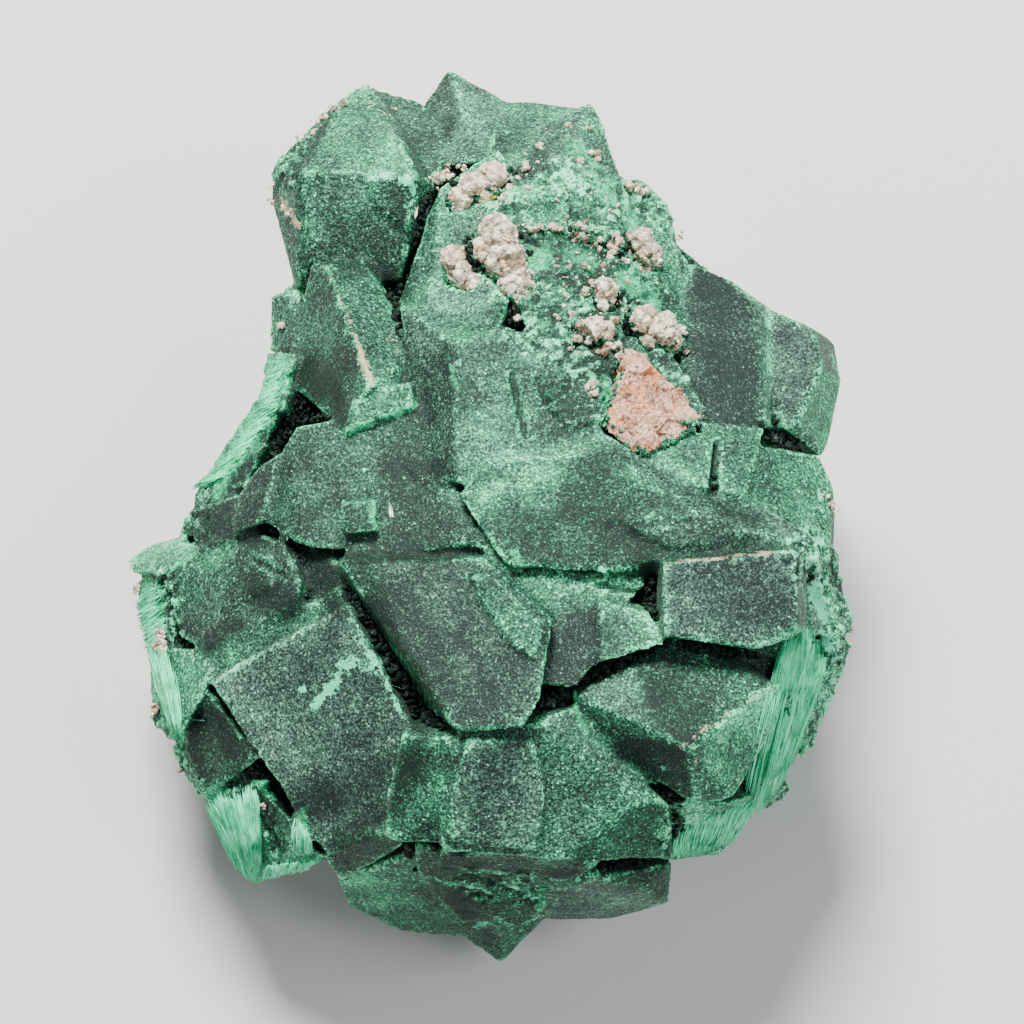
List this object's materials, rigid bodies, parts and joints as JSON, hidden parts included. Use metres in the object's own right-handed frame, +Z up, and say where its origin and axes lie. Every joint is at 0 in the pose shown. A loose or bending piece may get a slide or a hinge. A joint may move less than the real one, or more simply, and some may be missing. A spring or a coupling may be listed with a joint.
{
  "type": "malachite specimen",
  "caption": "Hand-sized cluster of intergrown blocky malachite crystals with seated pale quartz grains and a pink-brown chunk, cut flat underneath so that it rests crystals up",
  "frame": {"origin": "middle of the bounding box, on the flat cut that it rests on", "axes": "+Z up from the cut, +Y along the longest extent towards the crown of crystals, +X to the right as seen from the side of the blocky lower crystals"},
  "size_m": [0.0744, 0.0942, 0.0439],
  "materials": {
    "malachite": "velvety micro-crystalline skin, dark grey-green with lighter green rims and bright emerald broken edges",
    "pink_feldspar": "rough cleaved pink-brown stone with a dull sheen",
    "pale_quartz": "sugary pale quartz grains, slightly glassy",
    "rose_quartz": "sugary pinkish quartz grains, slightly glassy"
  },
  "bodies": {
    "root": {"malachite_cluster": "malachite", "pink_chunk": "pink_feldspar", "big_quartz": "pale_quartz", "left_quartz": "pale_quartz", "cream_grain": "pale_quartz", "upper_right_quartz": "pale_quartz", "lower_right_quartz": "pale_quartz", "white_grain": "pale_quartz", "rose_grain": "rose_quartz", "pink_bead": "rose_quartz", "grey_grain": "rose_quartz"}
  },
  "joints": []
}
